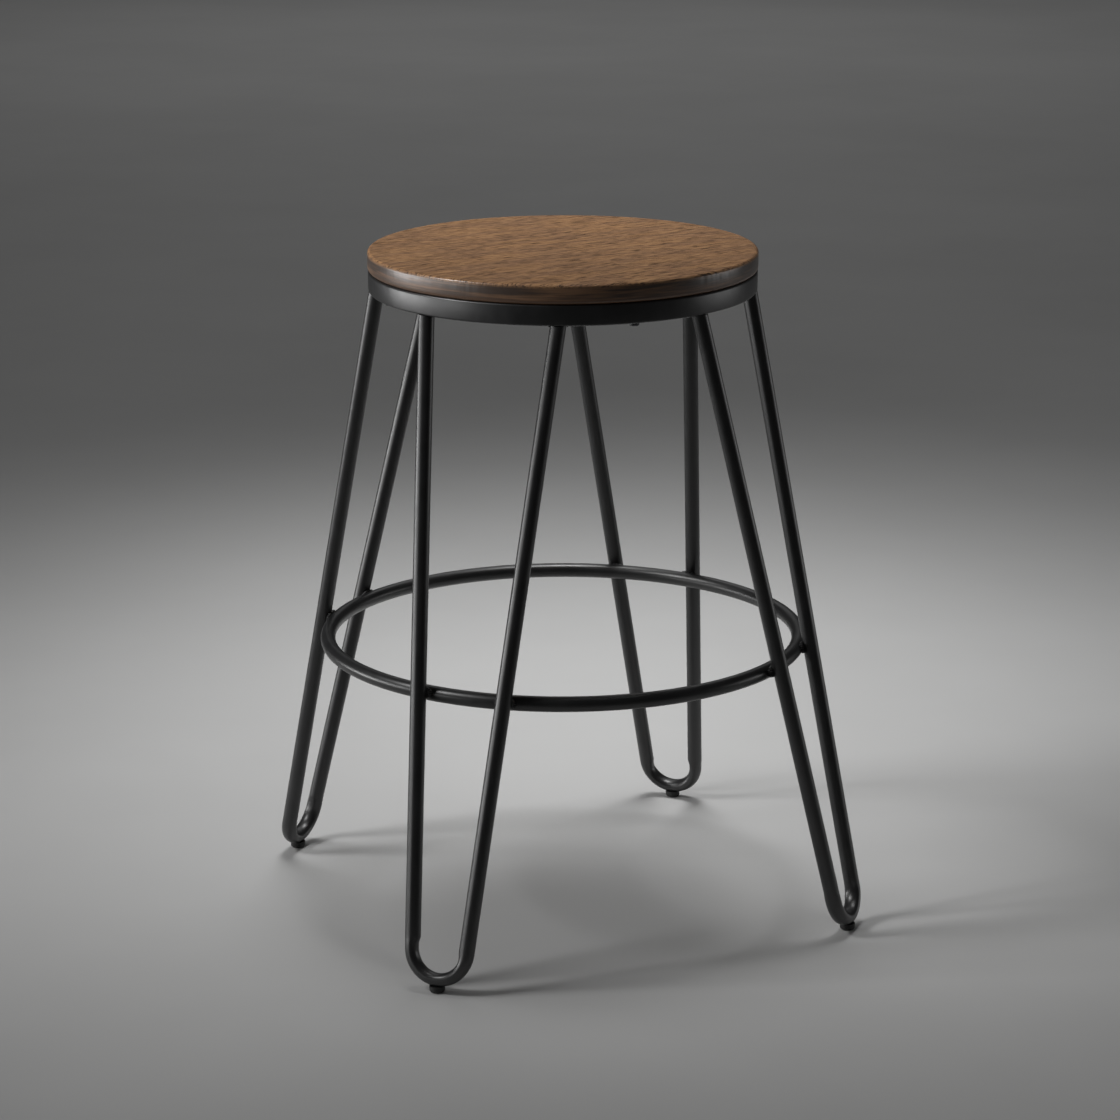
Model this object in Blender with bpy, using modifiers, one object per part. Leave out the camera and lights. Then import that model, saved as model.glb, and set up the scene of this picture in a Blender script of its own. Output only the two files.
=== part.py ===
"""Bar stool with a round wooden seat, a rolled square-tube seat band, four bent
hairpin legs, a round footrest ring and push-in foot pads.

The frame is metres, +Z up, with the origin on the floor under the seat's centre.
Front is -Y, and the four legs point along the axes. Leg pieces are modelled once,
for the right leg, which points along +X, and are then turned into their places.
"""
import math

import bmesh
import bpy
from mathutils import Matrix, Vector

# General
HEIGHT = 0.660                  # floor to seat top
GAP = 0.0003                    # clearance between neighbouring pieces
FACETS = 72                     # sides of a large turned piece
SMALL_FACETS = 16               # sides of a screw, washer or bore
ROD_RESOLUTION = 6              # bevel resolution of the leg tube, which gives 16 sides
BEAD_RESOLUTION = 1             # the same for a weld bead, 6 sides
SEARCH_STEPS = 80               # halvings when a touching place is searched for
SMOOTH_ANGLE = math.radians(35)

# Seat board
SEAT_RADIUS = 0.190
SEAT_THICKNESS = 0.019
SEAT_TOP_ROUND = 0.0030         # round-over of the upper edge
SEAT_LOW_ROUND = 0.0025         # eased lower edge

# Seat band, a square tube rolled into a hoop
BAND_INSET = 0.0005             # outer face, in from the seat board's edge
BAND_TUBE = 0.020               # side of the square tube
BAND_WALL = 0.0015
BAND_CORNER = 0.0020            # outer corner radius of the tube

# Hairpin legs
TUBE_RADIUS = 0.0076            # leg tube with its coating
LEG_SETBACK = 0.0006            # rod top's outer side, in from the band's outer face
LEG_SPREAD = math.radians(21.8)  # each rod top, either side of the leg's direction
FOOT_RADIUS = 0.3045            # stool axis to the middle of the bend
BEND_RADIUS = 0.028             # centreline of the U-bend
BEND_STEPS = 18
BEND_SQUASH_IN = 0.72           # what is left of the tube's inner half in the bend
BEND_SQUASH_OUT = 0.94          # what is left of its outer half
BEND_WIDEN = 1.06               # tube width in the bend, across the leg's plane
BEND_LEADS = {-1: 0.0110, 1: 0.0040}    # where the section starts to change, up each rod
BEND_BLENDS = {-1: 0.0080, 1: 0.0160}   # length over which it changes
ROD_RINGS = (0.003, 0.006, 0.009, 0.012)    # extra points of the path, up each rod

# Footrest ring
RING_TUBE_RADIUS = 0.0074
RING_HEIGHT = 0.270             # floor to the ring's centreline

# Foot pads
PAD_RADIUS = 0.0075
PAD_THICKNESS = 0.0054          # floor to the tube's underside
PAD_ROUND = 0.0030
PAD_LIP = 0.0012                # how far the cupped top rises beside the tube
STEM_RADIUS = 0.0030
STEM_LENGTH = 0.0070            # length inside the tube

# Seat screws and washers
SCREW_INSET = 0.0115            # screw's axis, in from the band's outer face
SCREW_RADIUS = 0.0025
SCREW_BITE = 0.0120             # length inside the seat board
SCREW_TAPER = 0.0040
HEAD_RADIUS = 0.0047
HEAD_HEIGHT = 0.0024
SOCKET_RADIUS = 0.0019
SOCKET_DEPTH = 0.0013
WASHER_RADIUS = 0.0062
WASHER_THICKNESS = 0.0010

# Weld beads
TOP_BEAD_RADIUS = 0.0010
TOP_BEAD_SWEEP = math.radians(190)
TOP_BEAD_STEPS = 12
RING_BEAD_WIDTH = 0.0104        # from the touching point, along the ring
RING_BEAD_REACH = 0.0058        # from the touching point, along the rod
RING_BEAD_DEPTH = 0.0034        # towards the ring and the rod

# Sizes that follow
BAND_RADIUS = SEAT_RADIUS - BAND_INSET
SCREW_CIRCLE = BAND_RADIUS - SCREW_INSET
SEAT_BOTTOM = HEIGHT - SEAT_THICKNESS
BAND_TOP = SEAT_BOTTOM - GAP
BAND_BOTTOM = BAND_TOP - BAND_TUBE
ROD_TOP = BAND_BOTTOM - GAP
WASHER_TOP = BAND_BOTTOM - GAP
HEAD_TOP = WASHER_TOP - WASHER_THICKNESS - GAP
SCREW_TIP = SEAT_BOTTOM + SCREW_BITE
BEND_CENTRE = PAD_THICKNESS + GAP + TUBE_RADIUS * BEND_SQUASH_OUT
STEM_TOP = PAD_THICKNESS + STEM_LENGTH

LEG_TURNS = {
    "right": 0.0,
    "back": math.radians(90),
    "left": math.radians(180),
    "front": math.radians(270),
}
SCREW_TURNS = {
    "back_right": math.radians(45),
    "back_left": math.radians(135),
    "front_left": math.radians(225),
    "front_right": math.radians(315),
}


# ---------------------------------------------------------------- scene helpers

def clear_scene():
    for obj in list(bpy.data.objects):
        bpy.data.objects.remove(obj, do_unlink=True)


def new_collection(name):
    collection = bpy.data.collections.new(name)
    bpy.context.scene.collection.children.link(collection)
    return collection


def new_material(name, colour, roughness, metallic):
    material = bpy.data.materials.new(name)
    material.use_nodes = True
    shader = material.node_tree.nodes["Principled BSDF"]
    shader.inputs["Base Color"].default_value = (*colour, 1.0)
    shader.inputs["Roughness"].default_value = roughness
    shader.inputs["Metallic"].default_value = metallic
    return material


def add_object(name, data, collection):
    obj = bpy.data.objects.new(name, data)
    collection.objects.link(obj)
    return obj


def as_cutter(obj):
    """Keep an object for cutting only."""
    obj.hide_render = True
    obj.display_type = "WIRE"
    return obj


def evaluated_mesh(obj):
    """The object's mesh with its modifiers and placement applied."""
    graph = bpy.context.evaluated_depsgraph_get()
    mesh = bpy.data.meshes.new_from_object(obj.evaluated_get(graph))
    mesh.transform(obj.matrix_world)
    return mesh


def finished_mesh(obj, name):
    """Turn a working object into a plain mesh and remove the object."""
    mesh = evaluated_mesh(obj)
    bpy.data.objects.remove(obj, do_unlink=True)
    mesh.name = name
    return mesh


def combine(obj, other, operation):
    """Add a Boolean modifier that cuts obj by other, or joins them."""
    modifier = obj.modifiers.new(operation.lower(), "BOOLEAN")
    modifier.operation = operation
    modifier.solver = "EXACT"
    modifier.object = other


# ---------------------------------------------------------------- shape helpers

def corner_arc(centre_x, centre_z, radius, start, end, steps):
    """Points along an arc in the profile plane, angles in degrees from +X."""
    points = []
    for step in range(steps + 1):
        angle = math.radians(start + (end - start) * step / steps)
        points.append((centre_x + radius * math.cos(angle), centre_z + radius * math.sin(angle)))
    return points


def turned(name, points, closed, facets, collection):
    """Turn a profile of (x, z) points about the Z axis with a Screw modifier."""
    mesh = bpy.data.meshes.new(name)
    bm = bmesh.new()
    corners = [bm.verts.new((x, 0.0, z)) for x, z in points]
    for first, second in zip(corners, corners[1:]):
        bm.edges.new((first, second))
    if closed:
        bm.edges.new((corners[-1], corners[0]))
    bm.to_mesh(mesh)
    bm.free()
    obj = add_object(name, mesh, collection)
    screw = obj.modifiers.new("turn", "SCREW")
    screw.steps = facets
    screw.render_steps = facets
    screw.use_merge_vertices = True
    screw.merge_threshold = 0.00001
    screw.use_smooth_shade = True
    return obj


def square_section(radius, bottom, side, corner, steps):
    """A rounded square section, outer face first and running down it."""
    inner = radius - side
    top = bottom + side
    points = corner_arc(radius - corner, top - corner, corner, 90, 0, steps)
    points += corner_arc(radius - corner, bottom + corner, corner, 0, -90, steps)
    points += corner_arc(inner + corner, bottom + corner, corner, -90, -180, steps)
    points += corner_arc(inner + corner, top - corner, corner, 180, 90, steps)
    return points


def cylinder(name, radius, low, high, sides, place, collection):
    """An upright cylinder between two heights, at an (x, y) place."""
    mesh = bpy.data.meshes.new(name)
    bm = bmesh.new()
    middle = Matrix.Translation((place[0], place[1], (low + high) / 2))
    bmesh.ops.create_cone(bm, cap_ends=True, segments=sides, radius1=radius, radius2=radius,
                          depth=high - low, matrix=middle)
    bm.to_mesh(mesh)
    bm.free()
    return add_object(name, mesh, collection)


def tube_along(name, points, radius, resolution, collection):
    """A round bar along a list of points, as a closed mesh."""
    curve = bpy.data.curves.new(name, "CURVE")
    curve.dimensions = "3D"
    curve.bevel_depth = radius
    curve.bevel_resolution = resolution
    curve.use_fill_caps = True
    spline = curve.splines.new("POLY")
    spline.points.add(len(points) - 1)
    for spot, point in zip(spline.points, points):
        spot.co = (*point, 1.0)
    mesh = finished_mesh(add_object(name, curve, collection), name)
    bm = bmesh.new()
    bm.from_mesh(mesh)
    bmesh.ops.remove_doubles(bm, verts=bm.verts, dist=0.00001)
    bmesh.ops.recalc_face_normals(bm, faces=bm.faces)
    bm.to_mesh(mesh)
    bm.free()
    return add_object(name, mesh, collection)


def smooth(mesh):
    mesh.shade_smooth()
    mesh.set_sharp_from_angle(angle=SMOOTH_ANGLE)
    return mesh


def place_copies(name, mesh, turns, collection, material):
    """One object for each turn about the stool's axis, all sharing the mesh."""
    smooth(mesh)
    mesh.materials.clear()
    mesh.materials.append(material)
    for place, turn in turns.items():
        obj = add_object(f"{name}_{place}" if place else name, mesh, collection)
        obj.rotation_euler = (0.0, 0.0, turn)


# ---------------------------------------------------------------- leg geometry

class LegPlane:
    """The tilted plane of a leg that points along +X.

    u runs sideways along +Y, and v runs up the leg from the middle of the bend.
    """

    def __init__(self):
        top_radius = BAND_RADIUS - LEG_SETBACK - TUBE_RADIUS
        self.foot = Vector((FOOT_RADIUS, 0.0, BEND_CENTRE))
        self.half_width = top_radius * math.sin(LEG_SPREAD)
        top = Vector((top_radius * math.cos(LEG_SPREAD), 0.0, ROD_TOP))
        self.length = (top - self.foot).length
        self.up = (top - self.foot).normalized()
        self.side = Vector((0.0, 1.0, 0.0))
        self.normal = self.up.cross(self.side)
        rise = self.length - BEND_RADIUS
        reach = math.hypot(self.half_width, rise)
        self.lean = math.atan2(self.half_width, rise) - math.asin(BEND_RADIUS / reach)

    def point(self, u, v):
        return self.foot + self.side * u + self.up * v

    def bend_point(self, angle):
        """A point of the bend's centreline, by its angle from the lowest point."""
        return self.point(BEND_RADIUS * math.sin(angle), BEND_RADIUS * (1 - math.cos(angle)))

    def bend_end(self):
        return math.pi / 2 - self.lean

    def rod_line(self, side):
        """A rod's axis: where it leaves the bend, and its direction upwards."""
        start = self.bend_point(side * self.bend_end())
        end = self.point(side * self.half_width, self.length)
        return start, (end - start).normalized()

    def path(self):
        """The tube's centreline, past the rod tops at both ends."""
        spare = 2 * TUBE_RADIUS
        rods = []
        for side in (-1, 1):
            start, direction = self.rod_line(side)
            length = (self.point(side * self.half_width, self.length) - start).length
            rods.append([start + direction * reach for reach in (*ROD_RINGS, length + spare)])
        limit = self.bend_end()
        bend = [self.bend_point(limit * (2 * step / BEND_STEPS - 1)) for step in range(BEND_STEPS + 1)]
        return [*reversed(rods[0]), *bend, *rods[1]]

    def squash(self, co):
        """Move a point of the round tube to where the bent tube's wall is."""
        u = (co - self.foot).dot(self.side)
        v = (co - self.foot).dot(self.up)
        side = 1 if u > 0 else -1
        start, direction = self.rod_line(side)
        beyond = (co - start).dot(direction)
        centre = start + direction * beyond
        if beyond < 0:
            angle = abs(math.atan2(u, BEND_RADIUS - v))
            beyond = (angle - self.bend_end()) * BEND_RADIUS
            centre = self.bend_point(side * angle)
        share = (BEND_LEADS[side] - beyond) / BEND_BLENDS[side]
        share = min(max(share, 0.0), 1.0)
        share = share * share * (3 - 2 * share)
        wide = self.normal * (co - centre).dot(self.normal)
        deep = co - centre - wide
        inside = deep.dot(self.point(0.0, BEND_RADIUS) - centre) > 0
        kept = BEND_SQUASH_IN if inside else BEND_SQUASH_OUT
        return centre + deep * (1 + (kept - 1) * share) + wide * (1 + (BEND_WIDEN - 1) * share)


def leg_tube(name, plane, radius, collection):
    """The bent tube of a leg, squashed in its bend and cut level under the band."""
    obj = tube_along(name, plane.path(), radius, ROD_RESOLUTION, collection)
    bm = bmesh.new()
    bm.from_mesh(obj.data)
    for vert in bm.verts:
        vert.co = plane.squash(vert.co)
    everything = bm.verts[:] + bm.edges[:] + bm.faces[:]
    bmesh.ops.bisect_plane(bm, geom=everything, plane_co=(0, 0, ROD_TOP), plane_no=(0, 0, 1),
                           clear_outer=True)
    rims = [edge for edge in bm.edges if edge.is_boundary]
    bmesh.ops.holes_fill(bm, edges=rims, sides=0)
    bmesh.ops.recalc_face_normals(bm, faces=bm.faces)
    bm.to_mesh(obj.data)
    bm.free()
    return obj


def nearest_on_rod(plane, ring_radius):
    """The point of a rod's axis that comes nearest to the ring's centreline."""
    start, direction = plane.rod_line(1)

    def distance(step):
        spot = start + direction * step
        return math.hypot(math.hypot(spot.x, spot.y) - ring_radius, spot.z - RING_HEIGHT)

    low = 0.0
    high = plane.length
    for _ in range(SEARCH_STEPS):
        third = (high - low) / 3
        if distance(low + third) < distance(high - third):
            high -= third
        else:
            low += third
    return start + direction * low, distance(low)


def ring_radius(plane):
    """The radius at which the ring just clears the inner side of the rods."""
    wanted = TUBE_RADIUS + RING_TUBE_RADIUS + GAP
    low = 0.0
    high = FOOT_RADIUS
    for _ in range(SEARCH_STEPS):
        middle = (low + high) / 2
        spot, distance = nearest_on_rod(plane, middle)
        inside = middle < math.hypot(spot.x, spot.y)
        if inside and distance > wanted:
            low = middle
        else:
            high = middle
    return low


# ---------------------------------------------------------------- the pieces

def bores(collection):
    """The screw holes, through the band and into the seat board, as one cutter."""
    holes = []
    for turn in SCREW_TURNS.values():
        place = (SCREW_CIRCLE * math.cos(turn), SCREW_CIRCLE * math.sin(turn))
        hole = cylinder("bore", SCREW_RADIUS + GAP, BAND_BOTTOM - BAND_TUBE, SCREW_TIP + GAP,
                        SMALL_FACETS, place, collection)
        holes.append(hole)
    for hole in holes[1:]:
        combine(holes[0], hole, "UNION")
    mesh = evaluated_mesh(holes[0])
    for hole in holes:
        bpy.data.objects.remove(hole, do_unlink=True)
    return add_object("screw_bores", mesh, collection)


def seat_board(cut, work):
    top_round = corner_arc(SEAT_RADIUS - SEAT_TOP_ROUND, HEIGHT - SEAT_TOP_ROUND,
                           SEAT_TOP_ROUND, 90, 0, 4)
    low_round = corner_arc(SEAT_RADIUS - SEAT_LOW_ROUND, SEAT_BOTTOM + SEAT_LOW_ROUND,
                           SEAT_LOW_ROUND, 0, -90, 2)
    profile = [(0.0, HEIGHT), *top_round, *low_round, (0.0, SEAT_BOTTOM)]
    obj = turned("seat_work", profile, False, FACETS, work)
    combine(obj, cut, "DIFFERENCE")
    return finished_mesh(obj, "seat_board")


def seat_band(cut, work):
    outer = square_section(BAND_RADIUS, BAND_BOTTOM, BAND_TUBE, BAND_CORNER, 2)
    inner = square_section(BAND_RADIUS - BAND_WALL, BAND_BOTTOM + BAND_WALL,
                           BAND_TUBE - 2 * BAND_WALL, BAND_CORNER - BAND_WALL, 1)
    obj = turned("band_work", outer, True, FACETS, work)
    core = turned("band_core", inner, True, FACETS, work)
    combine(obj, core, "DIFFERENCE")
    combine(obj, cut, "DIFFERENCE")
    mesh = finished_mesh(obj, "seat_band")
    bpy.data.objects.remove(core, do_unlink=True)
    return mesh


def leg(plane, work):
    obj = leg_tube("leg_work", plane, TUBE_RADIUS, work)
    hole = cylinder("stem_hole", STEM_RADIUS + GAP, 0.0, STEM_TOP + GAP, SMALL_FACETS,
                    (FOOT_RADIUS, 0.0), work)
    combine(obj, hole, "DIFFERENCE")
    mesh = finished_mesh(obj, "leg")
    bpy.data.objects.remove(hole, do_unlink=True)
    return mesh


def foot_pad(plane, tube_space, work):
    """A turned pad, cupped to the bent tube, with a stem that plugs into it."""
    top = PAD_THICKNESS + PAD_LIP
    low_round = corner_arc(PAD_RADIUS - PAD_ROUND, PAD_ROUND, PAD_ROUND, 0, -90, 3)
    profile = [(0.0, top), (PAD_RADIUS, top), *low_round, (0.0, 0.0)]
    obj = turned("pad_work", profile, False, 2 * SMALL_FACETS, work)
    obj.location = (FOOT_RADIUS, 0.0, 0.0)
    bpy.context.view_layer.update()
    combine(obj, tube_space, "DIFFERENCE")
    stem = cylinder("stem", STEM_RADIUS, PAD_THICKNESS / 2, STEM_TOP, SMALL_FACETS,
                    (FOOT_RADIUS, 0.0), work)
    combine(obj, stem, "UNION")
    mesh = finished_mesh(obj, "foot_pad")
    bpy.data.objects.remove(stem, do_unlink=True)
    return mesh


def foot_ring(radius, tube_radius, name, work):
    """A bar bent into a full circle and welded closed."""
    bpy.ops.mesh.primitive_torus_add(major_radius=radius, minor_radius=tube_radius,
                                     major_segments=FACETS, minor_segments=SMALL_FACETS,
                                     location=(0.0, 0.0, RING_HEIGHT))
    obj = bpy.context.object
    obj.name = name
    for holder in list(obj.users_collection):
        holder.objects.unlink(obj)
    work.objects.link(obj)
    bpy.context.view_layer.update()
    return obj


def screw(work):
    dome = HEAD_HEIGHT / 3
    bottom = HEAD_TOP - HEAD_HEIGHT
    profile = [
        (0.0, SCREW_TIP),
        (SCREW_RADIUS, SCREW_TIP - SCREW_TAPER),
        (SCREW_RADIUS, HEAD_TOP),
        (HEAD_RADIUS, HEAD_TOP),
        (HEAD_RADIUS, bottom + dome),
        (HEAD_RADIUS - dome, bottom),
        (0.0, bottom),
    ]
    obj = turned("screw_work", profile, False, SMALL_FACETS, work)
    obj.location = (SCREW_CIRCLE, 0.0, 0.0)
    bpy.context.view_layer.update()
    socket = cylinder("socket", SOCKET_RADIUS, bottom - SOCKET_DEPTH, bottom + SOCKET_DEPTH, 6,
                      obj.location.xy, work)
    combine(obj, socket, "DIFFERENCE")
    mesh = finished_mesh(obj, "seat_screw")
    bpy.data.objects.remove(socket, do_unlink=True)
    return mesh


def washer(work):
    bottom = WASHER_TOP - WASHER_THICKNESS
    bore = SCREW_RADIUS + GAP
    profile = [(WASHER_RADIUS, WASHER_TOP), (WASHER_RADIUS, bottom), (bore, bottom), (bore, WASHER_TOP)]
    obj = turned("washer_work", profile, True, SMALL_FACETS, work)
    obj.location = (SCREW_CIRCLE, 0.0, 0.0)
    bpy.context.view_layer.update()
    return finished_mesh(obj, "seat_washer")


def top_bead(plane, side, work):
    """A weld bead round the inner side of a rod's top, in the corner under the band."""
    start, direction = plane.rod_line(side)
    height = ROD_TOP - TOP_BEAD_RADIUS
    centre = start + direction * ((height - start.z) / direction.z)
    reach = TUBE_RADIUS + GAP + TOP_BEAD_RADIUS
    inwards = math.atan2(-centre.y, -centre.x)
    points = []
    for step in range(TOP_BEAD_STEPS + 1):
        angle = inwards + TOP_BEAD_SWEEP * (step / TOP_BEAD_STEPS - 0.5)
        outward = Vector((math.cos(angle), math.sin(angle), 0.0))
        stretch = 1 / math.sqrt(1 - outward.dot(direction) ** 2)
        points.append(centre + outward * (reach * stretch))
    obj = tube_along("bead_work", points, TOP_BEAD_RADIUS, BEAD_RESOLUTION, work)
    return finished_mesh(obj, "top_weld")


def ring_bead(plane, radius, side, tube_space, ring_space, work):
    """The weld metal in the crevice all round the point where ring and rod meet."""
    spot, _ = nearest_on_rod(plane, radius)
    _, direction = plane.rod_line(side)
    spot.y *= side
    on_ring = Vector((spot.x, spot.y, 0.0)).normalized() * radius
    on_ring.z = RING_HEIGHT
    outward = (spot - on_ring).normalized()
    touch = on_ring + outward * (RING_TUBE_RADIUS + GAP / 2)
    across = outward.cross(direction).normalized()
    along = across.cross(outward)
    turn = Matrix((outward, across, along)).transposed().to_4x4()
    size = Matrix.Diagonal((RING_BEAD_DEPTH, RING_BEAD_WIDTH, RING_BEAD_REACH, 1.0))
    mesh = bpy.data.meshes.new("ring_bead_work")
    bm = bmesh.new()
    bmesh.ops.create_uvsphere(bm, u_segments=14, v_segments=8, radius=1.0,
                              matrix=Matrix.Translation(touch) @ turn @ size)
    bm.to_mesh(mesh)
    bm.free()
    obj = add_object("ring_bead_work", mesh, work)
    combine(obj, tube_space, "DIFFERENCE")
    combine(obj, ring_space, "DIFFERENCE")
    return finished_mesh(obj, "ring_weld")


def build():
    clear_scene()
    stool = new_collection("bar_stool")
    work = new_collection("cutters")
    wood = new_material("stained_wood", (0.16, 0.075, 0.035), 0.45, 0.0)
    steel = new_material("black_steel", (0.02, 0.02, 0.021), 0.42, 0.0)
    rubber = new_material("black_rubber", (0.012, 0.012, 0.012), 0.75, 0.0)
    zinc = new_material("zinc_plate", (0.12, 0.12, 0.125), 0.40, 1.0)
    once = {"": 0.0}

    plane = LegPlane()
    radius = ring_radius(plane)
    cut = as_cutter(bores(work))
    tube_space = as_cutter(leg_tube("tube_space", plane, TUBE_RADIUS + GAP, work))
    ring_space = as_cutter(foot_ring(radius, RING_TUBE_RADIUS + GAP, "ring_space", work))

    place_copies("seat_board", seat_board(cut, work), once, stool, wood)
    place_copies("seat_band", seat_band(cut, work), once, stool, steel)
    place_copies("leg", leg(plane, work), LEG_TURNS, stool, steel)
    ring = finished_mesh(foot_ring(radius, RING_TUBE_RADIUS, "ring_work", work), "foot_ring")
    place_copies("foot_ring", ring, once, stool, steel)
    place_copies("foot_pad", foot_pad(plane, tube_space, work), LEG_TURNS, stool, rubber)
    place_copies("seat_screw", screw(work), SCREW_TURNS, stool, zinc)
    place_copies("seat_washer", washer(work), SCREW_TURNS, stool, zinc)
    for letter, side in (("a", -1), ("b", 1)):
        places = {f"{place}_{letter}": turn for place, turn in LEG_TURNS.items()}
        place_copies("top_weld", top_bead(plane, side, work), places, stool, steel)
        bead = ring_bead(plane, radius, side, tube_space, ring_space, work)
        place_copies("ring_weld", bead, places, stool, steel)


build()
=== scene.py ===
"""A bar stool: a round brushed-wood seat on a rolled steel band, four hairpin legs,
a footrest ring and push-in rubber feet.

Every piece is made around the frame, in metres, +Z up. The origin is on the floor
under the seat's centre, front is -Y, and the four legs point along the axes.
"""
import math

import bmesh
import bpy
from bpy.props import FloatProperty, FloatVectorProperty, IntProperty, PointerProperty
from bpy.types import Operator, Panel, PropertyGroup
from mathutils import Matrix, Vector, noise
from mathutils.bvhtree import BVHTree


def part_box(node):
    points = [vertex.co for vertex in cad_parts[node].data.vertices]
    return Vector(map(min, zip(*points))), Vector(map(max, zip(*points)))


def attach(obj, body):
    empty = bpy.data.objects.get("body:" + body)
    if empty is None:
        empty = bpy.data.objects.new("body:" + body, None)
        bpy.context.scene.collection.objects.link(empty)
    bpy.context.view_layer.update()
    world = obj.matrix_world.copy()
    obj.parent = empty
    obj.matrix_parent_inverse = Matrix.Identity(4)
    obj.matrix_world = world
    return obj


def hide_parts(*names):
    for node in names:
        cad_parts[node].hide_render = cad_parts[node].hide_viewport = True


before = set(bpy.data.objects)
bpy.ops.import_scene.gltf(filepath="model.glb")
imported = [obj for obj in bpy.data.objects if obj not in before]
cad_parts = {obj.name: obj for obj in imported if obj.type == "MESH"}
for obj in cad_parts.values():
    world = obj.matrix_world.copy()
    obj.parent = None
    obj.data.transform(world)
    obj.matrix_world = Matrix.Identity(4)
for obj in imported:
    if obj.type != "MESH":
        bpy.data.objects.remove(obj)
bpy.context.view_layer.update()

bl_info = {
    "name": "Bar Stool",
    "version": (1, 0, 0),
    "blender": (4, 5, 0),
    "location": "View3D > Sidebar > Bar Stool",
    "description": "Makes the pieces, finishes and stage of a bar stool with a footrest",
    "category": "Add Mesh",
}

BODY = "root"
PLACES = ("right", "back", "left", "front")
CORNERS = ("back_right", "back_left", "front_left", "front_right")
SIDES = {"a": -1, "b": 1}       # the two rods of a leg
UP = Vector((0.0, 0.0, 1.0))
ORIGIN = (0.0, 0.0, 0.0)
FULL_TURN = 2 * math.pi
UPRIGHT = Matrix.Rotation(math.pi / 2, 4, "X")      # stands a level circle on its edge
MERGE = 0.000002                # doubles closer than this are one vertex
NEAR = 0.00002                  # a vertex this close to a size is at that size
ANGLE_SLACK = 0.00001           # angles closer than this are the same
SMOOTH_ANGLE = math.radians(32)
GAP = 0.0003                    # clearance between neighbouring pieces
DRILL_PAST = 0.005              # how far a drill starts or ends past a face
DRILL_SIDES = 40
SEARCH_STEPS = 60               # thirds cut off while looking for a nearest point
LEG_PEEL = 0.000007             # height of the orange peel on the thin tubes
BAND_PEEL = 0.000010
WELD_PEEL = 0.000014


def middle_of(node):
    """The middle of a CAD node's box."""
    low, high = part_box(node)
    return (low + high) / 2


SEAT_LOW, SEAT_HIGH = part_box("seat_board")
BAND_LOW, BAND_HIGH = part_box("seat_band")
RING_LOW, RING_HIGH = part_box("foot_ring")
RING_BAR = (RING_HIGH.z - RING_LOW.z) / 2
PAD_LOW, PAD_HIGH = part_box("foot_pad_right")
LEG_LOW, LEG_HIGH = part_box("leg_right")
SCREW_LOW, SCREW_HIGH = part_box("seat_screw_back_right")
WASHER_LOW, WASHER_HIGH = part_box("seat_washer_back_right")


# -------- settings

def maker(kind, **fixed):
    """A function that makes properties of one kind."""
    def make(name, description, default):
        return kind(name=name, description=description, default=default, **fixed)
    return make


length = maker(FloatProperty, min=0.0, precision=5, unit="LENGTH")
share = maker(FloatProperty, min=0.0, subtype="FACTOR")
watts = maker(FloatProperty, min=0.0, unit="POWER")
millimetres = maker(FloatProperty, min=0.0, unit="CAMERA")
number = maker(FloatProperty)
count = maker(IntProperty, min=3)
colour = maker(FloatVectorProperty, min=0.0, max=1.0, subtype="COLOR")
radians = maker(FloatProperty, subtype="ANGLE", unit="ROTATION")


def angle(name, description, degrees):
    return radians(name, description, math.radians(degrees))


class StoolSeat(PropertyGroup):
    radius: length("Radius", "Seat board's radius", SEAT_HIGH.x)
    bottom: length("Bottom", "Height of the board's underside", SEAT_LOW.z)
    top: length("Top", "Height of the board's top", SEAT_HIGH.z)
    top_round: length("Top Round", "Round-over of the upper edge", 0.0030)
    low_round: length("Low Round", "Eased lower edge", 0.0034)
    steps: count("Steps", "Segments round the edge", 1080)
    groove_depth: length("Groove Depth", "How deep brushing cut the edge's soft grain", 0.00026)
    groove_width: length("Groove Width", "Width of a brushed groove", 0.0011)
    groove_length: length("Groove Length", "Length of a brushed groove", 0.014)
    grain_turn: angle("Grain Turn", "Direction of the grain, from +X", 56)


class StoolBand(PropertyGroup):
    radius: length("Radius", "Outer radius of the hoop", BAND_HIGH.x)
    bottom: length("Bottom", "Height of the hoop's underside", BAND_LOW.z)
    side: length("Side", "Side of the square tube", BAND_HIGH.z - BAND_LOW.z)
    wall: length("Wall", "Wall of the square tube", 0.0015)
    corner: length("Corner", "Outer corner radius of the tube", 0.0020)
    steps: count("Steps", "Segments round the hoop", 288)


class StoolLeg(PropertyGroup):
    tube: length("Tube Radius", "Radius of the leg tube with its coating", 0.0076)
    top: length("Top", "Height of the rod tops", LEG_HIGH.z)
    setback: length("Setback", "Rod top's outer side, in from the band's face", 0.0006)
    spread: angle("Spread", "Each rod top, either side of the leg's direction", 21.8)
    foot: length("Foot Radius", "Axis to the middle of the bend", middle_of("foot_pad_right").x)
    under: length("Under", "Height of the tube's underside", LEG_LOW.z)
    bend: length("Bend Radius", "Centreline radius of the bend", 0.028)
    kept_inside: share("Kept Inside", "What the bend leaves of the tube's inner half", 0.72)
    kept_outside: share("Kept Outside", "What the bend leaves of its outer half", 0.94)
    widen: share("Widen", "Tube width in the bend", 1.06)
    lead_a: length("Lead A", "Where the section starts to change, up the gripped rod", 0.0110)
    blend_a: length("Blend A", "Length over which it changes there", 0.0080)
    lead_b: length("Lead B", "Where the section starts to change, up the other rod", 0.0040)
    blend_b: length("Blend B", "Length over which it changes there", 0.0160)
    rod_rings: count("Rod Rings", "Rings of the mesh on each rod, next to the bend", 18)
    sides: count("Sides", "Sides of the tube", 48)
    steps: count("Steps", "Segments round the bend", 96)


class StoolRing(PropertyGroup):
    radius: length("Radius", "Centreline radius", RING_HIGH.x - RING_BAR)
    height: length("Height", "Height of the centreline", middle_of("foot_ring").z)
    bar: length("Bar Radius", "Radius of the bar", RING_BAR)
    sides: count("Sides", "Sides of the bar", 40)
    steps: count("Steps", "Segments round the ring", 320)


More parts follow.
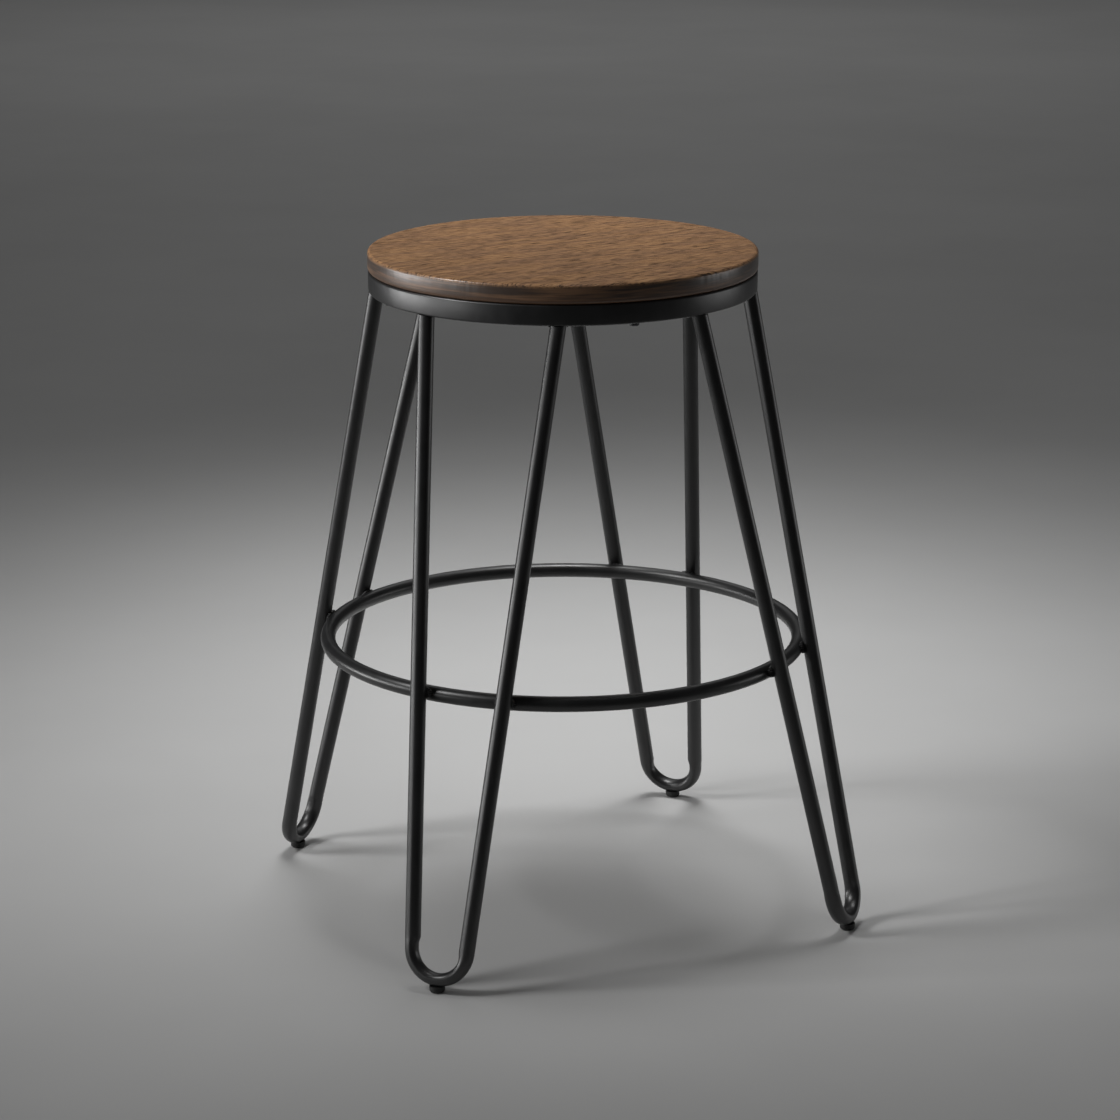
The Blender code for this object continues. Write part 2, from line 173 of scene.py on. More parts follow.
class StoolFoot(PropertyGroup):
    radius: length("Radius", "Pad's radius", (PAD_HIGH.x - PAD_LOW.x) / 2)
    lip: length("Lip", "Height of the cupped rim", 0.0066)
    round: length("Round", "Rounding of the lower edge", 0.0030)
    lip_round: length("Lip Round", "Rounding of the rim", 0.0004)
    stem: length("Stem Radius", "Radius of the stem inside the tube", 0.0030)
    stem_top: length("Stem Top", "Height of the stem's end", PAD_HIGH.z)
    gap: length("Gap", "Clearance to the tube", GAP)
    cup_rings: count("Cup Rings", "Rings across the cupped face", 14)
    steps: count("Steps", "Segments round the pad", 64)


class StoolFastener(PropertyGroup):
    head: length("Head Radius", "Radius of the screw's head", 0.0047)
    head_height: length("Head Height", "Height of the head", 0.0024)
    dome: length("Dome", "Rounding of the head", 0.0014)
    socket: length("Socket Radius", "Corner radius of the hexagon socket", 0.0019)
    socket_depth: length("Socket Depth", "Depth of the socket", 0.0013)
    shank: length("Shank Radius", "Radius of the shank", 0.0021)
    thread: length("Thread Radius", "Radius over the thread", 0.0025)
    pitch: length("Pitch", "Rise of the thread in one turn", 0.0018)
    taper: length("Taper", "Length of the point", 0.0040)
    bore: length("Bore Radius", "Radius of the screw holes", 0.0028)
    washer: length("Washer Radius", "Radius of the washer", 0.0062)
    washer_edge: length("Washer Edge", "Rounding of the washer's edges", 0.0002)
    steps: count("Steps", "Segments round a screw or washer", 48)


class StoolWeld(PropertyGroup):
    bead: length("Bead Radius", "Radius of the bead under the band", 0.0013)
    sweep: angle("Sweep", "How far the bead goes round the rod", 190)
    width: length("Ring Bead Width", "Half width of a ring weld, along the ring", 0.0108)
    reach: length("Ring Bead Reach", "Half height of a ring weld, along the rod", 0.0060)
    depth: length("Ring Bead Depth", "Half depth of a ring weld", 0.0038)
    ripple: share("Ripple", "Height of the ripples, as a part of the bead", 0.10)
    ripple_pitch: length("Ripple Pitch", "Distance between ripples", 0.0016)
    steps: count("Steps", "Segments along a bead", 120)
    sides: count("Sides", "Sides of a bead", 20)


class StoolFinish(PropertyGroup):
    wood_warm: colour("Warm Stain", "Stain on the open grain", (0.430, 0.228, 0.103))
    wood_cool: colour("Cool Stain", "Greyer streaks of the stain", (0.310, 0.166, 0.086))
    wood_dark: colour("Dark Grain", "Stain left in the pores", (0.055, 0.027, 0.013))
    # Light Grain: lighter ridges, partly real wear from brushing and partly a painted highlight
    # on the raised specks
    wood_worn_and_highlight: colour("Light Grain", "Ridges worn lighter by brushing", (0.600, 0.350, 0.168))
    # Edge Stain: the side's dark colour, partly a darker stain and partly painted shade that
    # makes the side darker than the top
    wood_edge_stain_and_shade: colour("Edge Stain", "Darker stain on the board's side", (0.060, 0.038, 0.027))
    # Edge Glow: a lighter, more orange colour towards the lower edge of the side, and a base tone
    # of the underside
    wood_glow: colour("Edge Glow", "Thin stain at the lower edge", (0.170, 0.080, 0.034))
    wood_roughness: share("Wood Roughness", "Roughness of the brushed wood", 0.70)
    wood_gloss: share("Wood Gloss", "Strength of the brushed wood's reflection", 0.20)
    lacquer_roughness: share("Lacquer Roughness", "Roughness of the lacquer on the side", 0.31)
    lacquer_index: number("Lacquer Index", "Refractive index of the lacquer", 1.60)
    groove: length("Groove", "Depth of the brushed grooves on the top", 0.00026)
    coat: colour("Coat", "Powder coat on the steel", (0.0095, 0.0096, 0.0100))
    coat_roughness: share("Coat Roughness", "Roughness of the powder coat", 0.36)
    coat_gloss: share("Coat Gloss", "Strength of the powder coat's reflection", 0.80)
    rubber: colour("Rubber", "Moulded feet", (0.012, 0.012, 0.012))
    zinc: colour("Zinc", "Black zinc plate on the screws and washers", (0.12, 0.12, 0.125))
    floor: colour("Floor", "Pale studio floor", (0.64, 0.64, 0.635))


class StoolStage(PropertyGroup):
    distance: length("Camera Distance", "From the stool's axis, level", 3.3644)
    height: length("Camera Height", "Above the floor", 1.26876)
    turn: angle("Camera Turn", "Round the stool, from the front", 23.129)
    pitch: angle("Camera Pitch", "Below level", 15.3442)
    pan: angle("Camera Pan", "Aim to the right of the axis", -0.0560)
    roll: angle("Camera Roll", "Turn about the line of sight", -0.1060)
    lens: millimetres("Lens", "Focal length", 112.683)
    sensor: millimetres("Sensor", "Sensor width", 36.0)
    world: share("World", "Brightness of the surroundings", 0.035)
    floor_size: length("Floor Size", "Side of the floor", 120.0)


def light_settings(title, power, side, distance, height, size, spread, aim):
    """The settings of one soft light. size is (width, depth), aim (distance, height)."""
    rows = {
        "power": watts("Power", f"{title} light's power", power),
        "side": angle("Side", f"{title} light's place, right of the camera", side),
        "distance": length("Distance", f"Stool's axis to the {title} light, level", distance),
        "height": length("Height", f"{title} light's middle, above the floor", height),
        "width": length("Width", f"{title} light's level side", size[0]),
        "depth": length("Depth", f"{title} light's other side", size[1]),
        "spread": angle("Spread", f"{title} light's spread", spread),
        "aim_distance": length("Aim Distance", "Stool's axis to the point it faces", aim[0]),
        "aim_height": length("Aim Height", "Height of the point it faces", aim[1]),
    }
    return type(f"Stool{title}Light", (PropertyGroup,), {"__annotations__": rows})


LIGHTS = {
    "key": light_settings("Key", 10.8, -99, 3.5, 0.35, (1.83, 0.55), 110, (0.0, 0.5)),
    "kicker": light_settings("Kicker", 5.8, -69, 3.5, 0.5, (1.83, 0.8), 110, (0.0, 0.5)),
    "fill": light_settings("Fill", 3.0, 102, 3.5, 0.5, (1.83, 0.8), 110, (0.0, 0.5)),
    "left": light_settings("Left", 4.0, -76, 1.8, 2.0, (0.6, 0.6), 70, (0.0, 0.66)),
    "pool": light_settings("Pool", 3.9, 178, 0.7, 3.2, (1.0, 1.0), 42, (0.7, 0.0)),
    "high": light_settings("High", 12.0, 180, 3.2, 3.2, (2.4, 2.4), 180, (0.0, 0.3)),
    "back": light_settings("Back", 15.0, 180, 7.0, 4.0, (5.0, 5.0), 90, (7.0, 0.0)),
}
GROUPS = {
    "seat": StoolSeat,
    "band": StoolBand,
    "leg": StoolLeg,
    "ring": StoolRing,
    "foot": StoolFoot,
    "fastener": StoolFastener,
    "weld": StoolWeld,
    "finish": StoolFinish,
    "stage": StoolStage,
    **LIGHTS,
}


class StoolSettings(PropertyGroup):
    """Every group of the stool's sizes and colours, by name."""
    __annotations__ = {
        name: PointerProperty(name=name.title(), description=f"The {name}'s settings", type=group)
        for name, group in GROUPS.items()
    }


# -------- shader helpers

class Wire:
    """A shader node's output. Sums written on wires add Math nodes."""

    def __init__(self, finish, socket):
        self.finish = finish
        self.socket = socket

    def maths(self, operation, first, second):
        return self.finish.node("ShaderNodeMath", {"operation": operation}, {0: first, 1: second})

    def __add__(self, other):
        return self.maths("ADD", self, other)

    __radd__ = __add__

    def __sub__(self, other):
        return self.maths("SUBTRACT", self, other)

    def __rsub__(self, other):
        return self.maths("SUBTRACT", other, self)

    def __mul__(self, other):
        return self.maths("MULTIPLY", self, other)

    __rmul__ = __mul__

    def between(self, low, high):
        """0 below low, 1 above high, and a smooth step from one to the other."""
        return self.finish.node("ShaderNodeMapRange", {"interpolation_type": "SMOOTHSTEP"},
                                {"Value": self, "From Min": low, "From Max": high})


class Finish:
    """A material whose nodes are added one by one."""

    def __init__(self, name):
        self.material = bpy.data.materials.new(name)
        self.material.use_nodes = True
        self.tree = self.material.node_tree
        self.shader = self.tree.nodes["Principled BSDF"]

    def node(self, kind, settings=None, inputs=None, output=0):
        """Add a node: its settings first, then its sockets' values or wires."""
        node = self.tree.nodes.new(kind)
        for name, value in (settings or {}).items():
            setattr(node, name, value)
        for name, value in (inputs or {}).items():
            self.feed(node.inputs[name], value)
        return Wire(self, node.outputs[output])

    def feed(self, socket, value):
        if isinstance(value, Wire):
            self.tree.links.new(value.socket, socket)
        elif socket.type == "RGBA":
            socket.default_value = (*value[:3], 1.0)
        else:
            socket.default_value = value

    def surface(self, **inputs):
        """Set the shader's own sockets, with _ for each space in a name."""
        for name, value in inputs.items():
            self.feed(self.shader.inputs[name.replace("_", " ")], value)
        return self.material

    def place(self):
        return self.node("ShaderNodeTexCoord", output="Object")

    def turned(self, vector, turn):
        rotation = (0.0, 0.0, turn)
        return self.node("ShaderNodeMapping", inputs={"Vector": vector, "Rotation": rotation})

    def parts(self, vector):
        """The three numbers of a vector."""
        node = self.tree.nodes.new("ShaderNodeSeparateXYZ")
        self.feed(node.inputs[0], vector)
        return [Wire(self, socket) for socket in node.outputs]

    def vectors(self, operation, first, second):
        return self.node("ShaderNodeVectorMath", {"operation": operation}, {0: first, 1: second})

    def noise(self, vector, size, detail=3.0, roughness=0.5, distortion=0.0):
        """Noise whose features have the given sizes in metres along each axis."""
        scaled = self.vectors("DIVIDE", vector, size)
        return self.node("ShaderNodeTexNoise", inputs={
            "Vector": scaled, "Scale": 1.0, "Detail": detail, "Roughness": roughness,
            "Distortion": distortion})

    def mix(self, factor, first, second):
        return self.node("ShaderNodeMix", {"data_type": "RGBA", "clamp_factor": True},
                         {0: factor, 6: first, 7: second}, output=2)

    def bump(self, height):
        """A normal from a height in metres."""
        return self.node("ShaderNodeBump", inputs={"Height": height, "Distance": 1.0})


# -------- finishes

def kept(name, make, *values):
    """A material by name, made once and then shared."""
    return bpy.data.materials.get(name) or make(name, *values)


def brushed_wood(name, finish, seat):
    """Stained, wire-brushed and lacquered board with open pores along the grain."""
    wood = Finish(name)
    point = wood.turned(wood.place(), -seat.grain_turn)
    sway = wood.noise(point, (0.110, 0.035, 0.035), 2.0) - 0.5
    ripple = wood.noise(point, (0.016, 0.008, 0.008), 2.0) - 0.5
    across = wood.node("ShaderNodeCombineXYZ", inputs={"Y": sway * 0.012 + ripple * 0.0007})
    bent = wood.vectors("ADD", point, across)

    rows = wood.noise(bent, (0.080, 0.0045, 0.0060), 2.0, 0.5).between(0.44, 0.58)
    dashes = wood.noise(bent, (0.0210, 0.0014, 0.0030), 1.0, 0.5).between(0.54, 0.61)
    pores = wood.noise(bent, (0.0150, 0.0012, 0.0015), 1.0, 0.5).between(0.55, 0.62)
    specks = wood.noise(bent, (0.0200, 0.0013, 0.0018), 2.0, 0.6)
    grooves = dashes * (rows * 0.7 + 0.3)

    height = wood.parts(wood.place())[2]
    curve = seat.top_round
    below = 1.0 - height.between(seat.top - 1.5 * curve, seat.top - 0.4 * curve)
    lacquer = 1.0 - height.between(seat.top - 0.6 * curve, seat.top - 0.05 * curve)
    top = wood_top(wood, finish, bent, grooves, pores, specks)
    under = 1.0 - height.between(seat.bottom + 0.0001, seat.bottom + 0.0008)
    raw = wood_under(wood, finish, bent, grooves, pores)
    # the side's colour is darker than the top's: partly a darker stain, partly painted shade
    side = wood.mix(under, wood_side(wood, finish, seat, height), raw)
    deep = finish.groove
    relief = grooves * -deep + pores * (-0.3 * deep) + specks * (0.35 * deep)
    return wood.surface(
        Base_Color=wood.mix(below, top, side),
        Roughness=finish.wood_roughness + grooves * 0.15,
        Specular_IOR_Level=finish.wood_gloss,
        Coat_Weight=lacquer * (1.0 - under),
        Coat_Roughness=finish.lacquer_roughness,
        Coat_IOR=finish.lacquer_index,
        Normal=wood.bump(relief * (1.0 - below + under * 0.3)),
    )


def wood_top(wood, finish, bent, grooves, pores, specks):
    """The board's face: two tones of stain, lighter ridges and darker grooves. The lighter ridges
    are partly worn by brushing and partly a painted highlight.
    """
    streaks = wood.noise(bent, (0.140, 0.013, 0.020), 3.0, 0.55)
    clouds = wood.noise(bent, (0.060, 0.028, 0.030), 2.0)
    cool = (streaks * 0.5 + clouds * 0.5).between(0.40, 0.60)
    tone = wood.mix(cool, finish.wood_warm, finish.wood_cool)
    fibres = wood.noise(bent, (0.060, 0.0013, 0.0013), 2.0, 0.6).between(0.38, 0.66)
    # lighter ridges on the raised specks: partly wear, partly a painted highlight
    ridged = wood.mix(specks.between(0.46, 0.68) * 0.50, tone, finish.wood_worn_and_highlight)
    return wood.mix(grooves * 0.80 + pores * 0.55 + fibres * 0.22, ridged, finish.wood_dark)


def wood_under(wood, finish, bent, grooves, pores):
    """The board's underside: planed, thinly stained, with plain straight grain."""
    bands = wood.noise(bent, (0.300, 0.0090, 0.0090), 3.0, 0.6).between(0.38, 0.62)
    fibres = wood.noise(bent, (0.060, 0.0012, 0.0012), 2.0, 0.6).between(0.35, 0.65)
    tone = wood.mix(bands * 0.8, finish.wood_glow, finish.wood_cool)
    return wood.mix(fibres * 0.35 + grooves * 0.25 + pores * 0.20, tone, finish.wood_edge_stain_and_shade)


def wood_side(wood, finish, seat, height):
    """The board's side: darker and smoother, with level streaks and a lighter, more orange lower
    edge. Its darkness is partly a darker stain and partly painted shade.
    """
    level = wood.noise(wood.place(), (0.070, 0.070, 0.0032), 3.0, 0.5)
    lines = wood.noise(wood.place(), (0.022, 0.022, 0.0007), 2.0, 0.5)
    # the side's dark tone: a darker stain with painted shade
    tone = wood.mix(level.between(0.42, 0.70) * 0.7, finish.wood_edge_stain_and_shade, finish.wood_cool)
    lined = wood.mix(lines.between(0.50, 0.70) * 0.45, tone, finish.wood_dark)
    # lighter and more orange towards the lower edge
    glow = 1.0 - height.between(seat.bottom + 0.0008, seat.bottom + 0.0060)
    return wood.mix(glow * 0.7, lined, finish.wood_glow)


def powder_coat(name, finish, peel):
    """Satin black powder coat with a fine orange peel."""
    coat = Finish(name)
    point = coat.place()
    cloud = coat.noise(point, (0.018, 0.018, 0.030), 3.0, 0.6)
    skin = coat.noise(point, (0.0016, 0.0016, 0.0016), 2.0, 0.5)
    grit = coat.noise(point, (0.00035, 0.00035, 0.00035), 1.0)
    paler = [1.45 * part for part in finish.coat]
    shade = coat.mix(cloud.between(0.35, 0.70), finish.coat, paler)
    return coat.surface(
        Base_Color=shade,
        Specular_IOR_Level=finish.coat_gloss,
        Roughness=finish.coat_roughness + (cloud - 0.5) * 0.16 + (grit - 0.5) * 0.05,
        Normal=coat.bump(skin * peel + grit * 0.000003),
    )


def moulded_rubber(name, finish):
    """Matt black rubber with a dusty lower edge and a fine mould texture."""
    rubber = Finish(name)
    point = rubber.place()
    cloud = rubber.noise(point, (0.004, 0.004, 0.004), 3.0, 0.6)
    grit = rubber.noise(point, (0.00030, 0.00030, 0.00030), 2.0)
    height = rubber.parts(point)[2]
    dust = (1.0 - height.between(0.0004, 0.0030)) * cloud.between(0.40, 0.75)
    return rubber.surface(
        Base_Color=rubber.mix(dust * 0.5, finish.rubber, (0.09, 0.085, 0.078)),
        Roughness=0.66 + (cloud - 0.5) * 0.2,
        Normal=rubber.bump(grit * 0.000020),
    )


def zinc_plate(name, finish):
    """Black zinc plate, dulled in patches, with fine turning marks."""
    zinc = Finish(name)
    point = zinc.place()
    cloud = zinc.noise(point, (0.003, 0.003, 0.003), 3.0, 0.6)
    lines = zinc.noise(point, (0.0015, 0.0015, 0.00012), 2.0)
    dull = [0.62 * part for part in finish.zinc]
    return zinc.surface(
        Base_Color=zinc.mix(cloud.between(0.35, 0.70), finish.zinc, dull),
        Roughness=0.30 + cloud * 0.20,
        Metallic=1.0,
        Normal=zinc.bump(lines * 0.000008),
    )


def floor_paint(name, finish):
    """Plain pale floor with a barely uneven tone."""
    paint = Finish(name)
    cloud = paint.noise(paint.place(), (0.9, 0.9, 0.9), 4.0, 0.6)
    darker = [0.93 * part for part in finish.floor]
    return paint.surface(
        Base_Color=paint.mix(cloud.between(0.30, 0.70), finish.floor, darker),
        Roughness=0.72 + (cloud - 0.5) * 0.1,
    )


# -------- mesh helpers

def turn_of(node):
    """The angle about the stool's axis at which a CAD node stands."""
    middle = middle_of(node)
    return math.atan2(middle.y, middle.x)


def clean(bm):
    """Merge doubled vertices and face everything outwards."""
    bmesh.ops.remove_doubles(bm, verts=bm.verts, dist=MERGE)
    bmesh.ops.recalc_face_normals(bm, faces=bm.faces)


def everything(bm):
    """What a spin or a cut works on."""
    return bm.verts[:] + bm.edges[:] + bm.faces[:]


def spin(bm, angle, steps, **more):
    """Sweep everything about the upright axis through the origin."""
    bmesh.ops.spin(bm, geom=everything(bm), cent=ORIGIN, axis=UP, angle=angle, steps=steps,
                   **more)


def rotate(bm, angle):
    """Turn everything about the upright axis through the origin."""
    matrix = Matrix.Rotation(angle, 3, "Z")
    bmesh.ops.rotate(bm, cent=ORIGIN, matrix=matrix, verts=bm.verts)


def move(bm, place):
    """Move everything level, from the origin to a place."""
    bmesh.ops.translate(bm, verts=bm.verts, vec=(place[0], place[1], 0.0))


def circle(bm, sides, radius, matrix):
    bmesh.ops.create_circle(bm, segments=sides, radius=radius, matrix=matrix)


def lathe(points, steps, closed=False, cuts=()):
    """Spin (x, z) corners into a solid. cuts is {side: how often it is divided}."""
    bm = bmesh.new()
    corners = [bm.verts.new((x, 0.0, z)) for x, z in points]
    sides = [bm.edges.new(pair) for pair in zip(corners, corners[1:])]
    if closed:
        bm.edges.new((corners[-1], corners[0]))
    for side in cuts:
        bmesh.ops.subdivide_edges(bm, edges=[sides[side]], cuts=cuts[side])
    spin(bm, FULL_TURN, steps, use_merge=True)
    clean(bm)
    return bm


def edges_at(bm, radius, height):
    """The ring of edges at a radius and a height."""
    def here(vert):
        reach = math.hypot(vert.co.x, vert.co.y)
        return abs(reach - radius) < NEAR and abs(vert.co.z - height) < NEAR

    return [edge for edge in bm.edges if here(edge.verts[0]) and here(edge.verts[1])]


def open_edges(bm):
    return [edge for edge in bm.edges if edge.is_boundary]


def bevel(bm, edges, offset, segments):
    bmesh.ops.bevel(bm, geom=edges, offset=offset, offset_type="OFFSET", affect="EDGES",
                    segments=segments, profile=0.5, material=-1, clamp_overlap=True)


def rounded_ring(corners, steps, radius, segments):
    """A closed ring from a section's (x, z) corners, with each corner rounded."""
    bm = lathe(corners, steps, closed=True)
    rims = []
    for reach, height in corners:
        rims += edges_at(bm, reach, height)
    bevel(bm, rims, radius, segments)
    return bm


def new_mesh(name, bm):
    """A mesh of a finished bmesh, which is freed."""
    mesh = bpy.data.meshes.new(name)
    bm.to_mesh(mesh)
    bm.free()
    return mesh


def new_object(name, data):
    """An object in the scene for a mesh, a light or a camera."""
    obj = bpy.data.objects.new(name, data)
    bpy.context.scene.collection.objects.link(obj)
    return obj


def append(bm, other):
    """Add another bmesh's geometry, and free it."""
    mesh = new_mesh("part", other)
    bm.from_mesh(mesh)
    bpy.data.meshes.remove(mesh)


def drill(bm, holes):
    """Cut upright holes: each is (x, y, radius, low, high)."""
    cutter = bmesh.new()
    for x, y, radius, low, high in holes:
        place = Matrix.Translation((x, y, (low + high) / 2))
        bmesh.ops.create_cone(cutter, cap_ends=True, segments=DRILL_SIDES, radius1=radius,
                              radius2=radius, depth=high - low, matrix=place)
    work = new_object("drilled", new_mesh("drilled", bm))
    tool = new_object("drill", new_mesh("drill", cutter))
    modifier = work.modifiers.new("cut", "BOOLEAN")
    modifier.operation = "DIFFERENCE"
    modifier.solver = "EXACT"
    modifier.object = tool
    graph = bpy.context.evaluated_depsgraph_get()
    result = bmesh.new()
    result.from_object(work, graph)
    for obj in (work, tool):
        mesh = obj.data
        bpy.data.objects.remove(obj)
        bpy.data.meshes.remove(mesh)
    bmesh.ops.remove_doubles(result, verts=result.verts, dist=MERGE)
    return result


def screw_holes(radius, low, high):
    """An upright hole for each seat screw, as drill takes them."""
    middles = [middle_of(f"seat_screw_{corner}") for corner in CORNERS]
    return [(middle.x, middle.y, radius, low, high) for middle in middles]


def finish_piece(name, bm, node, material):
    """Turn a finished bmesh into the piece that stands for a CAD node, and free it."""
    faults = [edge for edge in bm.edges if not edge.is_manifold]
    if faults:
        raise RuntimeError(f"{name} isn't closed: it has {len(faults)} open edges")
    mesh = new_mesh(name, bm)
    mesh.shade_smooth()
    mesh.set_sharp_from_angle(angle=SMOOTH_ANGLE)
    mesh.materials.append(material)
    piece = new_object(name, mesh)
    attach(piece, BODY)
    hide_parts(node)


def finish_copies(kind, suffix, bm, places, material, first_turn):
    """One turned copy of a bmesh for each CAD node of a kind. places is {name: turn}."""
    for place, turn in places.items():
        copy = bm.copy()
        rotate(copy, turn - first_turn)
        node = f"{kind}_{place}"
        finish_piece(f"{node}_{suffix}", copy, node, material)
    bm.free()


def finish_welds(kind, letter, bm, finish):
    """One copy of a weld bead for each leg, on the rod that the letter names."""
    coat = kept("weld_coat", powder_coat, finish, WELD_PEEL)
    places = {f"{place}_{letter}": turn for place, turn in leg_turns().items()}
    finish_copies(kind, "bead", bm, places, coat, 0.0)


def leg_turns():
    return {place: turn_of(f"foot_pad_{place}") for place in PLACES}


def screw_turns():
    return {corner: turn_of(f"seat_screw_{corner}") for corner in CORNERS}


# -------- leg geometry

class LegPlane:
    """The tilted plane of a leg that points along +X.

    u runs sideways along +Y, and v runs up the leg from the middle of the bend.
    """

    def __init__(self, leg, band):
        self.leg = leg
        top_radius = band.radius - leg.setback - leg.tube
        self.foot = Vector((leg.foot, 0.0, leg.under + leg.tube * leg.kept_outside))
        self.half_width = top_radius * math.sin(leg.spread)
        top = Vector((top_radius * math.cos(leg.spread), 0.0, leg.top))
        self.length = (top - self.foot).length
        self.up = (top - self.foot).normalized()
        self.side = Vector((0.0, 1.0, 0.0))
        self.normal = self.up.cross(self.side)
        rise = self.length - leg.bend
        reach = math.hypot(self.half_width, rise)
        lean = math.atan2(self.half_width, rise) - math.asin(leg.bend / reach)
        self.bend_end = math.pi / 2 - lean

    def point(self, u, v):
        return self.foot + self.side * u + self.up * v

    def bend_point(self, turn):
        """A point of the bend's centreline, by its angle from the lowest point."""
        return self.point(self.leg.bend * math.sin(turn), self.leg.bend * (1 - math.cos(turn)))

    def rod_line(self, side):
        """A rod's axis: where it leaves the bend, and its direction upwards."""
        start = self.bend_point(side * self.bend_end)
        end = self.point(side * self.half_width, self.length)
        return start, (end - start).normalized()

    def squash(self, co):
        """Move a point of the round tube to where the bent tube's wall is."""
        leg = self.leg
        u = (co - self.foot).dot(self.side)
        v = (co - self.foot).dot(self.up)
        side = 1 if u > 0 else -1
        start, direction = self.rod_line(side)
        beyond = (co - start).dot(direction)
        centre = start + direction * beyond
        if beyond < 0:
            round_bend = abs(math.atan2(u, leg.bend - v))
            beyond = (round_bend - self.bend_end) * leg.bend
            centre = self.bend_point(side * round_bend)
        lead, blend = (leg.lead_b, leg.blend_b) if side > 0 else (leg.lead_a, leg.blend_a)
        part = min(max((lead - beyond) / blend, 0.0), 1.0)
        part = part * part * (3 - 2 * part)
        wide = self.normal * (co - centre).dot(self.normal)
        deep = co - centre - wide
        inside = deep.dot(self.point(0.0, leg.bend) - centre) > 0
        kept_part = leg.kept_inside if inside else leg.kept_outside
        deep *= 1 + (kept_part - 1) * part
        wide *= 1 + (leg.widen - 1) * part
        return centre + deep + wide


def bent_tube(plane):
    """The leg tube: a circle spun through the bend, then drawn up both rods."""
    leg = plane.leg
    start, direction = plane.rod_line(-1)
    inward = plane.normal.cross(direction)
    facing = Matrix((plane.normal, inward, direction)).transposed().to_4x4()
    bm = bmesh.new()
    circle(bm, leg.sides, leg.tube, Matrix.Translation(start) @ facing)
    first_rim = bm.edges[:]
    spun = bmesh.ops.spin(bm, geom=everything(bm), cent=plane.point(0.0, leg.bend),
                          axis=plane.side.cross(plane.up), angle=2 * plane.bend_end,
                          steps=leg.steps)
    last_rim = [part for part in spun["geom_last"] if isinstance(part, bmesh.types.BMEdge)]
    for side, rim in ((-1, first_rim), (1, last_rim)):
        start, direction = plane.rod_line(side)
        rise = (plane.point(side * plane.half_width, plane.length) - start).length + 2 * leg.tube
        near = (leg.lead_a + leg.lead_b) / leg.rod_rings
        for step in (*[near] * leg.rod_rings, rise):
            drawn = bmesh.ops.extrude_edge_only(bm, edges=rim)
            tops = [part for part in drawn["geom"] if isinstance(part, bmesh.types.BMVert)]
            rim = [part for part in drawn["geom"] if isinstance(part, bmesh.types.BMEdge)]
            rim = [edge for edge in rim if set(edge.verts) <= set(tops)]
            bmesh.ops.translate(bm, verts=tops, vec=direction * step)
    for vert in bm.verts:
        vert.co = plane.squash(vert.co)
    bmesh.ops.bisect_plane(bm, geom=everything(bm), plane_co=(0.0, 0.0, leg.top),
                           plane_no=UP, clear_outer=True)
    bmesh.ops.holes_fill(bm, edges=open_edges(bm), sides=0)
    clean(bm)
    return bm


def nearest_on_rod(plane, ring):
    """The point of a rod's axis that comes nearest to the ring's centreline."""
    start, direction = plane.rod_line(1)

    def distance(step):
        spot = start + direction * step
        return math.hypot(math.hypot(spot.x, spot.y) - ring.radius, spot.z - ring.height)

    low = 0.0
    high = plane.length
    for _ in range(SEARCH_STEPS):
        third = (high - low) / 3
        if distance(low + third) < distance(high - third):
            high -= third
        else:
            low += third
    return start + direction * low


# -------- pieces

class STOOL_OT_seat_board(Operator):
    """Turn the seat board and brush its edge"""
    bl_idname = "stool.seat_board"
    bl_label = "Seat Board"

    def execute(self, context):
        stool = context.scene.stool
        seat = stool.seat
        inner = seat.radius - 2 * seat.top_round
        corners = [(0.0, seat.top), (inner, seat.top), (seat.radius, seat.top),
                   (seat.radius, seat.bottom), (0.0, seat.bottom)]
        bm = lathe(corners, seat.steps)
        bevel(bm, edges_at(bm, seat.radius, seat.top), seat.top_round, 8)
        bevel(bm, edges_at(bm, seat.radius, seat.bottom), seat.low_round, 4)
        self.brush(bm, seat)
        bore = stool.fastener.bore
        bm = drill(bm, screw_holes(bore, seat.bottom - DRILL_PAST, SCREW_HIGH.z + GAP))
        wood = kept("brushed_wood", brushed_wood, stool.finish, seat)
        finish_piece("seat_board_turned", bm, "seat_board", wood)
        return {"FINISHED"}

    def brush(self, bm, seat):
        """Sink the edge where soft grain runs out over it."""
        to_grain = Matrix.Rotation(-seat.grain_turn, 3, "Z")
        bm.normal_update()
        start = seat.top - 1.4 * seat.top_round
        moves = []
        for vert in bm.verts:
            reach = math.hypot(vert.co.x, vert.co.y)
            if vert.co.z < start or reach < seat.radius - 1.5 * seat.top_round:
                continue
            spot = to_grain @ vert.co
            spot = Vector((spot.x / seat.groove_length, spot.y / seat.groove_width,
                           spot.z / (2 * seat.groove_width)))
            depth = max(noise.noise(spot) + 0.25 * noise.noise(3 * spot), 0.0)
            fade = min((vert.co.z - start) / (0.5 * seat.top_round), 1.0)
            moves.append((vert, vert.normal * (-seat.groove_depth * depth * fade)))
        for vert, shift in moves:
            vert.co += shift


